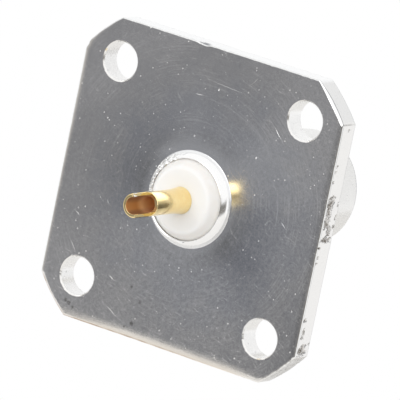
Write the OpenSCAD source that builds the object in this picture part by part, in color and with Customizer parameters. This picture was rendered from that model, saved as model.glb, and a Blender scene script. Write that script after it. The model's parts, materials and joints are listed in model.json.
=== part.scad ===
// Panel-mount BNC jack with a square four-hole flange and a solder-cup tail.
// The connector's axis lies along Y: the mouth faces +Y and the solder cup faces -Y.
// The origin is the centre of the flange's rear face, the side that the solder cup stands on.

/* [Flange] */
// Width across the flats of the square flange
flange_side = 25.4; // [24.5:0.1:27]
// Diameter that the four corners are turned to
flange_corner_d = 32; // [30.5:0.1:34]
// Thickness of the flange
flange_t = 2; // [1.4:0.1:4]
// Distance between the screw holes, along both sides
hole_pitch = 18.3; // [16.5:0.1:19]
// Diameter of a screw hole
hole_d = 3.2; // [2.4:0.1:4]
// Edge break at both mouths of a screw hole
hole_break = 0.12; // [0.02:0.02:0.2]
// Width of the soft roll along the edges of the flange's rear face
edge_roll_w = 0.6; // [0.2:0.05:1]
// Depth of that roll
edge_roll_d = 0.18; // [0.05:0.01:0.3]
// Radius of the edges of the flange's front face
edge_round = 0.1; // [0.05:0.05:0.3]

/* [Rear collar] */
// Outside diameter of the collar that is rolled over the insulator
collar_d = 8; // [7.6:0.1:9]
// Height of the collar above the flange's rear face
collar_h = 0.7; // [0.6:0.05:1.2]
// Radius of the collar's rolled outer edge
rim_round = 0.47; // [0.1:0.01:0.5]
// How far the rolled rim leans in over the insulator
rim_lap = 0.05; // [0.02:0.01:0.1]
// Axial length of the rolled part of the rim
rim_roll = 0.25; // [0.15:0.05:0.35]
// Bevel on the rim's inner edge
rim_bevel = 0.08; // [0.02:0.01:0.12]
// Radius of the collar's foot on the flange
foot_round = 0.12; // [0.05:0.01:0.3]

/* [Barrel] */
// Outside diameter of the barrel
barrel_d = 9.6; // [9.5:0.05:9.8]
// Length of the barrel in front of the flange
barrel_len = 16.3; // [14.5:0.1:22]
// Outside diameter of the shoulder between flange and barrel
shoulder_d = 11.3; // [10:0.1:14]
// Length of the shoulder in front of the flange
shoulder_len = 4; // [2:0.1:6]
// Edge break on the barrel and the shoulder
barrel_break = 0.3; // [0.1:0.05:0.35]
// Diameter of the mouth, which takes the plug's outer contact
mouth_d = 8.1; // [7.9:0.05:8.2]
// Depth of the mouth
mouth_depth = 8.4; // [7:0.1:9]
// Diameter of a bayonet lug
lug_d = 1.95; // [1.5:0.05:2.3]
// Width over the two bayonet lugs
lug_span = 10.95; // [10.4:0.05:11.4]
// Distance from the mating face back to the lugs' centres
lug_setback = 5.3; // [4:0.1:7]

/* [Insulators] */
// Diameter of the bore that holds both insulators
bore_d = 6.8; // [6.4:0.05:7]
// Diameter of the opening in the lip that stops the front insulator
lip_d = 5.6; // [5:0.05:6]
// Thickness of the lip
lip_t = 1; // [0.5:0.1:2]
// Diameter of the front insulator's post
post_d = 4.7; // [4.3:0.05:4.9]
// Length of the post in the mouth
post_len = 5; // [4:0.1:6]
// Length of the front insulator behind the lip
seat_len = 4.5; // [2.5:0.1:5.5]
// Height of the rear insulator's end face above the collar
face_rise = 0.75; // [0.4:0.05:2]
// Diameter of the flat on the rear insulator's bevelled end
face_d = 5.4; // [4.6:0.1:6]
// Radius of the edge round that flat
face_round = 0.25; // [0.05:0.05:0.3]

/* [Centre contact] */
// Outside diameter of the socket
socket_d = 2.15; // [2:0.05:2.4]
// Bore of the socket, which takes the plug's pin
socket_bore_d = 1.4; // [1.2:0.05:1.5]
// Depth of the socket's bore
socket_depth = 5.5; // [4.5:0.1:7]
// How far the socket sits back from the post's end
socket_recess = 0.2; // [0.1:0.05:0.5]
// Number of slots that make the socket springy
slot_count = 4; // [2:1:4]
// Width of a slot
slot_w = 0.22; // [0.15:0.01:0.25]
// Length of a slot
slot_len = 3.8; // [2.5:0.1:4.4]
// Diameter of the contact's collar, held between the insulators
stop_d = 3.6; // [3:0.1:4.2]
// Thickness of the contact's collar
stop_t = 1; // [0.5:0.1:2]
// Diameter of the stem through the rear insulator
stem_d = 2.26; // [2.1:0.02:2.6]
// Length over which the stem tapers to the solder cup
taper_len = 1.9; // [1:0.1:2.5]
// Outside diameter of the solder cup
cup_d = 2; // [1.8:0.05:2.1]
// Length of the tail behind the rear insulator
tail_len = 6.9; // [6:0.1:9]
// Bore of the solder cup
cup_bore_d = 1.4; // [1.1:0.05:1.5]
// Depth of the solder cup's bore
cup_depth = 4.8; // [4.4:0.1:5]
// Length of the cup's open half
cup_cut_len = 2.1; // [1.2:0.1:2.8]
// Direction that the cup's open half faces, from +X towards +Z
cup_cut_angle = 21; // [0:1:360]
// Edge break on the outside of the cup's end
cup_break = 0.12; // [0.02:0.01:0.14]

/* [Fits] */
// Radial clearance between the insulators, the bore and the contact
fit_gap = 0.02; // [0.01:0.01:0.04]

/* [Hidden] */
$fn = 96;
arc_steps = 8;
past = 1; // how far a cutting shape runs past the surface that it opens

// Radii
corner_r = flange_corner_d / 2;
collar_r = collar_d / 2;
barrel_r = barrel_d / 2;
shoulder_r = shoulder_d / 2;
mouth_r = mouth_d / 2;
bore_r = bore_d / 2;
rim_r = bore_r - rim_lap;
lip_r = lip_d / 2;
post_r = post_d / 2;
face_r = face_d / 2;
socket_r = socket_d / 2;
socket_bore_r = socket_bore_d / 2;
stop_r = stop_d / 2;
stem_r = stem_d / 2;
cup_r = cup_d / 2;
cup_bore_r = cup_bore_d / 2;

// Small edge breaks that follow the pieces they are on
lead_in = barrel_break / 2;
lug_break = lug_d / 12;
post_break = (post_r - socket_r) / 8;
entry_break = (post_r - socket_r) / 10;
socket_break = (socket_r - socket_bore_r) / 4;

// Stations along the axis, counted from the flange's rear face towards the solder cup
front_z = -flange_t;
shoulder_z = front_z - shoulder_len;
mate_z = front_z - barrel_len;
lug_z = mate_z + lug_setback;
seat_z = mate_z + mouth_depth;
lip_z = seat_z + lip_t;
split_z = lip_z + seat_len;
stop_z = split_z - stop_t;
post_z = seat_z - post_len;
socket_z = post_z + socket_recess;
rim_z = collar_h;
bevel_z = rim_z - rim_roll;
face_z = rim_z + face_rise;
tip_z = face_z + tail_len;
cut_z = tip_z - cup_cut_len;

// Points of an arc from one angle to another, in steps
function arc(centre, r, from, to) = oval(centre, r, r, from, to);

// The same for an arc that is wider than it is high, or higher than it is wide
function oval(centre, rx, ry, from, to) =
    [for (i = [0 : arc_steps]) let (a = from + (to - from) * i / arc_steps)
        centre + [rx * cos(a), ry * sin(a)]];

// Lays a shape that was drawn with its axis along Z onto the connector's axis
module on_axis() {
    rotate([90, 0, 0]) children();
}

// A turned shape from points of radius and station
module turned(points) {
    rotate_extrude() polygon(points);
}

// A drilled hole with a cone at its end, from a mouth towards -Z
module drilled(r, mouth, depth) {
    translate([0, 0, mouth - depth]) cylinder(r = r, h = depth + past);
    translate([0, 0, mouth - depth - r / 2]) cylinder(r1 = 0, r2 = r, h = r / 2);
}

// Section of the flange across a pair of flats, with soft rear edges
module flange_section(half) {
    low = front_z + edge_round;
    polygon(concat(
        oval([half - edge_roll_w, -edge_roll_d], edge_roll_w, edge_roll_d, 0, 90),
        oval([edge_roll_w - half, -edge_roll_d], edge_roll_w, edge_roll_d, 90, 180),
        arc([edge_round - half, low], edge_round, 180, 270),
        arc([half - edge_round, low], edge_round, 270, 360)));
}

// Turned blank of the flange, whose rim is left as the four corners
module flange_blank() {
    turned(concat(
        [[0, front_z]],
        arc([corner_r - edge_round, front_z + edge_round], edge_round, 270, 360),
        oval([corner_r - edge_roll_w, -edge_roll_d], edge_roll_w, edge_roll_d, 0, 90),
        [[0, 0]]));
}

// Bar with the flange's section, laid across the blank at a turn
module flats(turn) {
    rotate([90, 0, turn])
        linear_extrude(height = flange_corner_d + past, center = true)
            flange_section(flange_side / 2);
}

module flange() {
    intersection() {
        flange_blank();
        flats(0);
        flats(90);
    }
}

module screw_holes() {
    for (x = [-1, 1], y = [-1, 1])
        translate([x, y, 0] * hole_pitch / 2) {
            translate([0, 0, front_z - past]) cylinder(d = hole_d, h = flange_t + 2 * past);
            for (side = [0, 1])
                translate([0, 0, side * front_z]) mirror([0, 0, side])
                    translate([0, 0, -hole_break])
                        cylinder(d1 = hole_d, d2 = hole_d + 4 * hole_break, h = 2 * hole_break);
        }
}

// Outside of the barrel, its shoulder and the rear collar
module turned_outside() {
    foot_r = collar_r + foot_round;
    turned(concat(
        [[0, mate_z],
         [barrel_r - barrel_break, mate_z],
         [barrel_r, mate_z + barrel_break],
         [barrel_r, shoulder_z],
         [shoulder_r - barrel_break, shoulder_z],
         [shoulder_r, shoulder_z + barrel_break],
         [shoulder_r, front_z / 2],
         [foot_r, front_z / 2]],
        arc([foot_r, foot_round], foot_round, 270, 180),
        arc([collar_r - rim_round, rim_z - rim_round], rim_round, 0, 90),
        [[0, rim_z]]));
}

// Mouth, lip and insulator bore, with the rim rolled in at the rear
module turned_inside() {
    turned([
        [0, mate_z - past],
        [mouth_r + lead_in + past, mate_z - past],
        [mouth_r, mate_z + lead_in],
        [mouth_r, seat_z],
        [lip_r, seat_z],
        [lip_r, lip_z],
        [bore_r, lip_z],
        [bore_r, bevel_z],
        [rim_r, rim_z - rim_bevel],
        [rim_r + rim_bevel, rim_z],
        [rim_r + rim_bevel, rim_z + past],
        [0, rim_z + past]]);
}

module bayonet_lugs() {
    tip = lug_span / 2;
    for (turn = [0, 180])
        translate([0, 0, lug_z]) rotate([0, 90, turn]) {
            cylinder(d = lug_d, h = tip - lug_break);
            translate([0, 0, tip - lug_break])
                cylinder(d1 = lug_d, d2 = lug_d - 2 * lug_break, h = lug_break);
        }
}

module body() {
    color("silver") on_axis()
        difference() {
            union() {
                flange();
                turned_outside();
                bayonet_lugs();
            }
            turned_inside();
            screw_holes();
        }
}

module front_insulator() {
    color("whitesmoke") on_axis()
        turned([
            [stop_r + fit_gap, split_z],
            [stop_r + fit_gap, stop_z],
            [socket_r + fit_gap, stop_z],
            [socket_r + fit_gap, post_z + entry_break],
            [socket_r + fit_gap + entry_break, post_z],
            [post_r - post_break, post_z],
            [post_r, post_z + post_break],
            [post_r, seat_z],
            [lip_r - fit_gap, seat_z],
            [lip_r - fit_gap, lip_z],
            [bore_r - fit_gap, lip_z],
            [bore_r - fit_gap, split_z]]);
}

module rear_insulator() {
    outer_r = bore_r - fit_gap;
    // The edge of the flat is rounded between the flat and the bevel
    slope = atan2(face_z - bevel_z, outer_r - face_r);
    round_r = face_r - face_round * tan(slope / 2);
    color("white") on_axis()
        turned(concat(
            [[stem_r + fit_gap, split_z],
             [outer_r, split_z],
             [outer_r, bevel_z]],
            arc([round_r, face_z - face_round], face_round, 90 - slope, 90),
            [[stem_r + fit_gap, face_z]]));
}

// Slots that split the socket into springy fingers
module socket_slots() {
    for (i = [0 : slot_count - 1])
        rotate([0, 0, 45 + 360 * i / slot_count])
            translate([0, -slot_w / 2, socket_z - past])
                cube([socket_r + past, slot_w, slot_len + past]);
}

// Half of the cup's end, cut away so that the wire can be laid in
module cup_cut() {
    rotate([0, 0, cup_cut_angle])
        translate([0, -cup_d, cut_z])
            cube([2 * cup_d, 2 * cup_d, cup_cut_len + past]);
}

// The stem flares out towards the insulator, steeper the nearer it is
function flare() =
    [for (i = [0 : arc_steps]) let (t = i / arc_steps)
        [cup_r + (stem_r - cup_r) * pow(1 - t, 2), face_z + taper_len * t]];

module contact_outside() {
    turned(concat(
        [[0, socket_z],
         [socket_r - socket_break, socket_z],
         [socket_r, socket_z + socket_break],
         [socket_r, stop_z],
         [stop_r, stop_z],
         [stop_r, split_z],
         [stem_r, split_z]],
        flare(),
        [[cup_r, tip_z - cup_break],
         [cup_r - cup_break, tip_z],
         [0, tip_z]]));
}

module centre_contact() {
    color("gold") on_axis()
        difference() {
            contact_outside();
            rotate([180, 0, 0]) drilled(socket_bore_r, -socket_z, socket_depth);
            translate([0, 0, socket_z - socket_break])
                cylinder(r1 = socket_bore_r + 2 * socket_break, r2 = socket_bore_r, h = 2 * socket_break);
            socket_slots();
            drilled(cup_bore_r, tip_z, cup_depth);
            cup_cut();
        }
}

body();
front_insulator();
rear_insulator();
centre_contact();
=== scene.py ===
# %% [markdown]
# # A bayonet panel jack, dressed for its photograph
# The real part is a small coaxial jack: a silvery square flange with four screw holes, a barrel
# behind it, white plastic in the bore and a gilded contact whose tail is a solder cup.
# The CAD model already has its size and place, so every piece here is laid over a CAD node, in metres.

# %% Load the frame
import json
import math
from contextlib import contextmanager

import bmesh
import bpy
import numpy as np
from mathutils import Matrix, Vector, noise
from mathutils.geometry import delaunay_2d_cdt

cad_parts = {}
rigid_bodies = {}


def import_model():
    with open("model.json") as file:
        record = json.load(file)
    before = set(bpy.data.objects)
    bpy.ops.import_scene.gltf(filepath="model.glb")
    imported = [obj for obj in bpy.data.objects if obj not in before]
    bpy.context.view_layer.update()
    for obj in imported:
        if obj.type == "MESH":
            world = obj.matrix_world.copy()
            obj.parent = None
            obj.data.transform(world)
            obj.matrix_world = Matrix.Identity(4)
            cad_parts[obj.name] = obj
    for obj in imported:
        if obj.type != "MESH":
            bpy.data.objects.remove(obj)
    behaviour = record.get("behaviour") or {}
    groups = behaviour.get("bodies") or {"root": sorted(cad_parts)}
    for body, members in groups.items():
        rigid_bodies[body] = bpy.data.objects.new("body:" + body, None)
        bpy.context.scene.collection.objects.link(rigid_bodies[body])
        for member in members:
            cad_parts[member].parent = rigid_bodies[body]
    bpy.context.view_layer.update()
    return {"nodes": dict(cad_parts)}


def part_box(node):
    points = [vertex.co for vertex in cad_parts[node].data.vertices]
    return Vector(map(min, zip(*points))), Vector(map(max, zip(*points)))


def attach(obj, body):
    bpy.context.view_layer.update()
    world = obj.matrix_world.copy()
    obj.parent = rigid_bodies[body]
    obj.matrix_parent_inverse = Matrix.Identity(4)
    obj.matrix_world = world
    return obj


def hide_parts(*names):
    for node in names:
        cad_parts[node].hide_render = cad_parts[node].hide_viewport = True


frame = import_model()
scene = bpy.context.scene
scene.view_settings.view_transform = "Standard"
print("CAD nodes:", sorted(frame["nodes"]))

# %% [markdown]
# ## Sizes
# The pieces follow the CAD nodes, so the outer sizes are read from the nodes' boxes. What a box can't
# tell, such as a bore or an edge, is written here once, in millimetres, as the maker's drawing would.
# The connector's axis is Y: the solder cup points to -Y and the mouth of the barrel to +Y.

# %% Read the sizes
MM = 0.001


def node_box(node):
    """A node's lowest and highest corner, in mm."""
    return [Vector(corner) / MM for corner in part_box(node)]


body_low, body_high = node_box("body")
contact_low, contact_high = node_box("centre_contact")
rear_low, rear_high = node_box("rear_insulator")

flange_half = body_high.x
flange_corner_r = 16.0
flange_t = 2.0
hole_pitch = 18.3
hole_r = 1.6
mate_y = body_high.y
rim_y = body_low.y
tip_y = contact_low.y
socket_y = contact_high.y
face_y = rear_low.y
split_y = rear_high.y
post_y = node_box("front_insulator")[1].y
print(f"flange {2 * flange_half:.2f} mm wide, barrel to y {mate_y:.2f}, solder cup to y {tip_y:.2f}")

# %% [markdown]
# ## Camera
# The photograph was taken with a long lens, so the flange hardly narrows with distance. The camera stands
# where the four screw holes fall on the photograph's holes. It comes first, because some marks on the
# metal are placed by the pixel where the photograph shows them.

# %% Set up the camera
PHOTO_SIDE = 400


def add_object(name, data):
    """A new object in the scene."""
    thing = bpy.data.objects.new(name, data)
    scene.collection.objects.link(thing)
    return thing


camera_data = bpy.data.cameras.new("camera")
camera_data.lens = 645.27
camera_data.sensor_width = 36
camera_at = Vector((0.297045, -0.487561, 0.116313))
look = Vector((-0.50862, 0.83758, -0.19944)).normalized()
camera_up = Vector((0.81633, 0.54275, 0.19755)).cross(look).normalized()
camera_right = look.cross(camera_up)
camera = add_object("camera", camera_data)
camera_turn = Matrix((camera_right, camera_up, -look)).transposed()
camera.matrix_world = Matrix.Translation(camera_at) @ camera_turn.to_4x4()
scene.camera = camera


def on_plane(u, v, normal, distance=0.0):
    """Where a pixel of the photograph falls on a plane, which lies at a distance from the origin. In mm."""
    focal = camera_data.lens / camera_data.sensor_width * PHOTO_SIDE
    middle = PHOTO_SIDE / 2
    ray = look + camera_right * ((u - middle) / focal) + camera_up * ((middle - v) / focal)
    return (camera_at + ray * ((distance * MM - camera_at.dot(normal)) / ray.dot(normal))) / MM


def on_rear_face(u, v):
    """Where a pixel falls on the flange's rear face, as x and z in mm."""
    spot = on_plane(u, v, Vector((0, 1, 0)))
    return spot.x, spot.z


def on_right_side(u, v):
    """Where a pixel falls on the flange's right side, as z and y in mm."""
    spot = on_plane(u, v, Vector((1, 0, 0)), flange_half)
    return spot.z, spot.y


middle_pixel = (PHOTO_SIDE / 2, PHOTO_SIDE / 2)
print("the photograph's middle falls at x, z =", [round(c, 2) for c in on_rear_face(*middle_pixel)])

# %% [markdown]
# ## Three finishes, named now and mixed later
# Geometry Nodes give each piece its material as their last step, so the materials have to exist before
# the shapes do. They are empty here and get their nodes further down.

# %% Name the finishes
plating, gold, plastic = (bpy.data.materials.new(name)
                          for name in ("bright_plating", "gilding", "white_ptfe"))
for finish in (plating, gold, plastic):
    finish.use_nodes = True
print("finishes:", plating.name, gold.name, plastic.name)

# %% [markdown]
# ## Wires for node trees
# Every tree below, for shapes and for finishes, is built from two things. put() adds one node, sets its
# options and fills its inputs. A Wire is a node's output, and knows its tree, so a sum or product of wires
# is written as in any formula and becomes a Math node. A long tree is then as short to read as its rule.

# %% Build node trees
class Wire:
    """A node's output. Each sum, product and so on of wires and numbers makes one Math node."""

    def __init__(self, socket):
        self.socket = socket
        self.node = socket.node
        self.tree = socket.id_data

    def other(self, name):
        """Another output of the same node."""
        return Wire(self.node.outputs[name])

    def calc(self, operation, *others):
        return one_math(self.tree, operation, self, *others)

    def __add__(self, other):
        return self.calc("ADD", other)

    def __mul__(self, other):
        return self.calc("MULTIPLY", other)

    def __sub__(self, other):
        return self.calc("SUBTRACT", other)

    def __rsub__(self, other):
        return one_math(self.tree, "SUBTRACT", other, self)

    def __rtruediv__(self, other):
        return one_math(self.tree, "DIVIDE", other, self)

    def __truediv__(self, other):
        return self.calc("DIVIDE", other)


def fill(socket, value):
    """Links a wire to an input, or sets the input's value."""
    if isinstance(value, Wire):
        value.tree.links.new(value.socket, socket)
    else:
        socket.default_value = value


def put(tree, kind, inputs=(), **options):
    """Adds a node and gives its first output. Inputs go by name, or by place among the open sockets."""
    node = tree.nodes.new(kind)
    for name, value in options.items():
        setattr(node, name, value)
    sockets = [s for s in node.inputs if s.enabled]
    by_name = {s.name: s for s in reversed(sockets)}
    for key, value in dict(inputs).items():
        fill(sockets[key] if isinstance(key, int) else by_name[key], value)
    outputs = [Wire(s) for s in node.outputs if s.enabled]
    return outputs[0] if outputs else node


def one_math(tree, operation, *values):
    return put(tree, "ShaderNodeMath", dict(enumerate(values)), operation=operation)


def split(vector):
    """The X, Y and Z of a vector."""
    apart = put(vector.tree, "ShaderNodeSeparateXYZ", {"Vector": vector})
    return [Wire(s) for s in apart.node.outputs]


def vector_of(tree, x, y, z):
    return put(tree, "ShaderNodeCombineXYZ", {"X": x, "Y": y, "Z": z})


def given_to(tree):
    """The tree's own inputs, by name."""
    return {s.name: Wire(s) for s in tree.nodes.new("NodeGroupInput").outputs if s.name}


print("a wire makes a Math node for each sum or product")

# %% Trees that make shapes
Y_AXIS, Z_AXIS = (0, 1, 0), (0, 0, 1)


def new_tree(name, inputs):
    """An empty Geometry Nodes tree, and its named inputs."""
    tree = bpy.data.node_groups.new(name, "GeometryNodeTree")
    for label, kind in inputs.items():
        tree.interface.new_socket(label, in_out="INPUT", socket_type="NodeSocket" + kind)
    tree.interface.new_socket("Geometry", in_out="OUTPUT", socket_type="NodeSocketGeometry")
    return tree, given_to(tree)


def turned_about(tree, axis, angle):
    return put(tree, "FunctionNodeAxisAngleToRotation", {"Axis": axis, "Angle": angle})


def close_tree(tree, geometry, material):
    """Ends a tree as the export needs it: real faces, with their material on them."""
    real = put(tree, "GeometryNodeRealizeInstances", {"Geometry": geometry})
    painted = put(tree, "GeometryNodeSetMaterial", {"Geometry": real, "Material": material})
    put(tree, "NodeGroupOutput", {0: painted})
    print(f"tree {tree.name!r}: {len(tree.nodes)} nodes")


def grow(piece, tree, **values):
    """Runs a tree on a piece and keeps the result as the piece's own plain mesh."""
    modifier = piece.modifiers.new(tree.name, "NODES")
    modifier.node_group = tree
    for item in tree.interface.items_tree:
        name = item.name.replace(" ", "_").lower()
        if item.in_out == "INPUT" and name in values:
            modifier[item.identifier] = values[name]
    evaluated = piece.evaluated_get(bpy.context.evaluated_depsgraph_get())
    mesh = bpy.data.meshes.new_from_object(evaluated)
    piece.modifiers.clear()
    piece.data = mesh
    return piece


print("a tree's result becomes the piece's own mesh")

# %% [markdown]
# ## A lathe made of nodes
# Everything but the flange was turned on a lathe, so its shape is one profile carried round the axis.
# A Screw modifier would do, but a tree shows the rule: a grid gets one row for each point of the profile and
# one column for each step round the axis, and each grid point is then moved to its radius and angle.

# %% The lathe
WELD = 1e-7


def lathe_tree():
    tree, given = new_tree("lathe", {"Profile": "Geometry", "Segments": "Int", "Material": "Material"})
    rows = put(tree, "GeometryNodeAttributeDomainSize", {"Geometry": given["Profile"]})
    columns = given["Segments"] + 1
    grid = put(tree, "GeometryNodeMeshGrid", {"Vertices X": columns, "Vertices Y": rows})
    index = put(tree, "GeometryNodeInputIndex")
    row = put(tree, "FunctionNodeIntegerMath", {0: index, 1: rows}, operation="MODULO")
    column = put(tree, "FunctionNodeIntegerMath", {0: index, 1: rows}, operation="DIVIDE_FLOOR")
    place = put(tree, "GeometryNodeInputPosition")
    sample = put(tree, "GeometryNodeSampleIndex", {
        "Geometry": given["Profile"], "Value": place, "Index": row}, data_type="FLOAT_VECTOR")
    radius, station, _ = split(sample)
    angle = column / given["Segments"] * math.tau
    turned = vector_of(tree, radius * angle.calc("COSINE"), station, radius * angle.calc("SINE"))
    moved = put(tree, "GeometryNodeSetPosition", {"Geometry": grid, "Position": turned})
    welded = put(tree, "GeometryNodeMergeByDistance", {"Geometry": moved, "Distance": WELD})
    close_tree(tree, welded, given["Material"])
    return tree


lathe = lathe_tree()

# %% Profiles for the lathe
def arc(centre, radius, start, end, steps=10):
    """Points of an arc in a profile, with its angles in degrees."""
    angles = (math.radians(start + (end - start) * i / steps) for i in range(steps + 1))
    return [(centre[0] + radius * math.cos(a), centre[1] + radius * math.sin(a)) for a in angles]


def supported(profile, reach=0.05):
    """The profile with a point near both ends of each long straight, so that it shades flat between them."""
    points = [profile[0]]
    for (r0, y0), (r1, y1) in zip(profile, profile[1:]):
        length = math.hypot(r1 - r0, y1 - y0)
        if length > 4 * reach:
            share = reach / length
            for t in (share, 1 - share):
                points.append((r0 + (r1 - r0) * t, y0 + (y1 - y0) * t))
        points.append((r1, y1))
    return points


def turn(name, profile, segments, material):
    """A turned piece from points of radius and station, in mm."""
    points = supported(profile)
    mesh = bpy.data.meshes.new(name)
    mesh.from_pydata([(r * MM, y * MM, 0) for r, y in points],
                     [(i, i + 1) for i in range(len(points) - 1)], [])
    return grow(add_object(name, mesh), lathe, segments=segments, material=material)


@contextmanager
def edited(mesh):
    """The mesh, open for editing, which is written back at the end."""
    shell = bmesh.new()
    shell.from_mesh(mesh)
    yield shell
    shell.to_mesh(mesh)
    shell.free()


def finish_mesh(piece, angle=30):
    """Turns the faces outwards, and shades smooth across edges that are softer than the angle."""
    with edited(piece.data) as shell:
        bmesh.ops.recalc_face_normals(shell, faces=shell.faces)
    piece.data.shade_smooth()
    piece.data.set_sharp_from_angle(angle=math.radians(angle))
    print(f"{piece.name}: {len(piece.data.polygons)} faces")


print("a profile is a list of radius and station, in mm")

# %% [markdown]
# ## Rear insulator
# White plastic fills the bore, and its bevelled end stands proud of the rolled rim. The plastic is
# soft and was cut with a knife tool, so the corner between the flat and the bevel is well rounded.

# %% Turn the rear insulator
PLASTIC_SEGMENTS = 160
fit_gap = 0.02
seal_gap = 0.002
seal_depth = 0.3
bore_r = 3.4
stem_r = 1.13
bevel_depth = 0.25
bevel_y = rim_y + bevel_depth
flat_r = 2.7
flat_round = 0.5
insulator_r = bore_r - fit_gap
bevel_slope = math.degrees(math.atan2(bevel_y - face_y, insulator_r - flat_r))
round_r = flat_r - flat_round * math.tan(math.radians(bevel_slope / 2))
rear_insulator = turn("rear_plastic", [
    (stem_r + fit_gap, split_y),
    (insulator_r, split_y),
    (insulator_r, bevel_y),
    *arc((round_r, face_y + flat_round), flat_round, bevel_slope - 90, -90),
    (stem_r + seal_gap, face_y),
    (stem_r + fit_gap, face_y + seal_depth),
    (stem_r + fit_gap, split_y),
], PLASTIC_SEGMENTS, plastic)
finish_mesh(rear_insulator)

# %% [markdown]
# ## Front insulator
# The same plastic makes the post in the mouth of the barrel. It is stepped, because a lip in the body
# stops it from being pushed out when a plug comes in.

# %% Turn the front insulator
stop_r = 1.8
stop_t = 1.0
socket_r = 1.075
lip_r = 2.8
lip_t = 1.0
post_r = 2.35
post_len = 5.0
post_break = 0.16
entry_break = 0.13
seat_y = post_y - post_len
lip_y = seat_y - lip_t
stop_y = split_y + stop_t
front_insulator = turn("front_plastic", [
    (stop_r + fit_gap, split_y),
    (stop_r + fit_gap, stop_y),
    (socket_r + fit_gap, stop_y),
    (socket_r + fit_gap, post_y - entry_break),
    (socket_r + fit_gap + entry_break, post_y),
    *arc((post_r - post_break, post_y - post_break), post_break, 90, 0, 6),
    (post_r, seat_y),
    (lip_r - fit_gap, seat_y),
    (lip_r - fit_gap, lip_y),
    (insulator_r, lip_y),
    (insulator_r, split_y),
    (stop_r + fit_gap, split_y),
], PLASTIC_SEGMENTS, plastic)
finish_mesh(front_insulator)

# %% [markdown]
# ## Centre contact
# One gilded pin runs through both insulators. Its front end is a socket, sawn into four springy fingers,
# and its tail flares out of the plastic and ends in a cup that is cut open so that a wire can be laid in.
# The lathe gives the pin, and a second tree takes the slots and the open half away with a Boolean.

# %% Saw the slots and open the cup
def contact_cut_tree():
    tree, given = new_tree("contact cuts", {
        "Pin": "Geometry", "Slots": "Int", "Slot Width": "Float", "Slot Length": "Float",
        "Socket End": "Float", "Cup Start": "Float", "Cup Turn": "Float", "Reach": "Float",
        "Material": "Material"})
    reach = given["Reach"]
    half_reach = reach * 0.5

    def beside_axis(angle, station):
        """The middle of a cutter that reaches out from the axis."""
        across, upwards = angle.calc("COSINE"), angle.calc("SINE")
        return vector_of(tree, across * half_reach, station, upwards * half_reach)

    def cutter(x, y, z):
        return put(tree, "GeometryNodeMeshCube", {"Size": vector_of(tree, x, y, z)})

    angle = put(tree, "GeometryNodeInputIndex") * (math.tau / given["Slots"]) + math.pi / 4
    points = put(tree, "GeometryNodePoints", {
        "Count": given["Slots"], "Position": beside_axis(angle, given["Socket End"])})
    blade = cutter(reach, given["Slot Length"] * 2, given["Slot Width"])
    blades = put(tree, "GeometryNodeInstanceOnPoints", {
        "Points": points, "Instance": blade, "Rotation": turned_about(tree, Y_AXIS, angle * -1)})
    saw = put(tree, "GeometryNodeRealizeInstances", {"Geometry": blades})
    cup_turn = given["Cup Turn"]
    window = put(tree, "GeometryNodeTransform", {
        "Geometry": cutter(reach, reach, reach), "Rotation": turned_about(tree, Y_AXIS, cup_turn * -1),
        "Translation": beside_axis(cup_turn, given["Cup Start"] - half_reach)})
    cut = tree.nodes.new("GeometryNodeMeshBoolean")
    cut.operation = "DIFFERENCE"
    cut.solver = "EXACT"
    fill(cut.inputs["Mesh 1"], given["Pin"])
    for tool in (saw, window):
        fill(cut.inputs["Mesh 2"], tool)
    close_tree(tree, Wire(cut.outputs["Mesh"]), given["Material"])
    return tree


contact_cuts = contact_cut_tree()

# %% Turn the contact and cut it
socket_bore_r = 0.7
socket_depth = 5.5
socket_break = 0.09
cup_r = 1.0
cup_bore_r = 0.7
cup_depth = 4.8
cup_cut_len = 2.1
cup_cut_angle = math.radians(21)
cup_break = 0.12
taper_len = 1.9
flare_steps = 16
cut_rows = 18
contact_segments = 128
socket_floor = socket_y - socket_depth
cup_floor = tip_y + cup_depth
cup_cut_y = tip_y + cup_cut_len
open_rows = [cup_cut_y - (cup_cut_len - cup_break) * (i + 0.5) / cut_rows for i in range(cut_rows)]
flare = [(cup_r + (stem_r - cup_r) * (1 - t / flare_steps) ** 2, face_y - taper_len * t / flare_steps)
         for t in range(flare_steps + 1)]
contact = turn("gilded_contact", [
    (0, socket_floor - socket_bore_r / 2),
    (socket_bore_r, socket_floor),
    (socket_bore_r, socket_y - socket_break),
    (socket_bore_r + socket_break, socket_y),
    (socket_r - socket_break, socket_y),
    (socket_r, socket_y - socket_break),
    (socket_r, stop_y),
    (stop_r, stop_y),
    (stop_r, split_y),
    (stem_r, split_y),
    *flare,
    *((cup_r, y) for y in open_rows),
    *arc((cup_r - cup_break, tip_y + cup_break), cup_break, 0, -90, 8),
    (cup_bore_r, tip_y),
    *((cup_bore_r, y) for y in reversed(open_rows)),
    (cup_bore_r, cup_floor),
    (0, cup_floor + cup_bore_r / 2),
], contact_segments, gold)
grow(contact, contact_cuts, slots=4, slot_width=0.22 * MM, slot_length=3.8 * MM, socket_end=socket_y * MM,
     cup_start=cup_cut_y * MM, cup_turn=cup_cut_angle, reach=4.4 * MM, material=gold)
print("contact:", len(contact.data.polygons), "faces after the cuts")

# %% Soften the cup's edges
cup_edge_round = 0.04


def soften_cut_edges(piece, width, sharpest=50):
    """A small round on the sharp edges of the solder cup, which catches a thin line of light."""
    cup_end = (cup_cut_y + width) * MM
    with edited(piece.data) as shell:
        bmesh.ops.remove_doubles(shell, verts=shell.verts, dist=WELD)
        bmesh.ops.recalc_face_normals(shell, faces=shell.faces)
        edges = [e for e in shell.edges if e.is_convex and e.calc_face_angle() > math.radians(sharpest)
                 and all(v.co.y < cup_end for v in e.verts)]
        bmesh.ops.bevel(shell, geom=edges, offset=width * MM, segments=2, profile=0.5,
                        affect="EDGES", material=-1)
        wide = [f for f in shell.faces if len(f.verts) > 4]
        bmesh.ops.triangulate(shell, faces=wide, ngon_method="EAR_CLIP")
        return len(edges)


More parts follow.
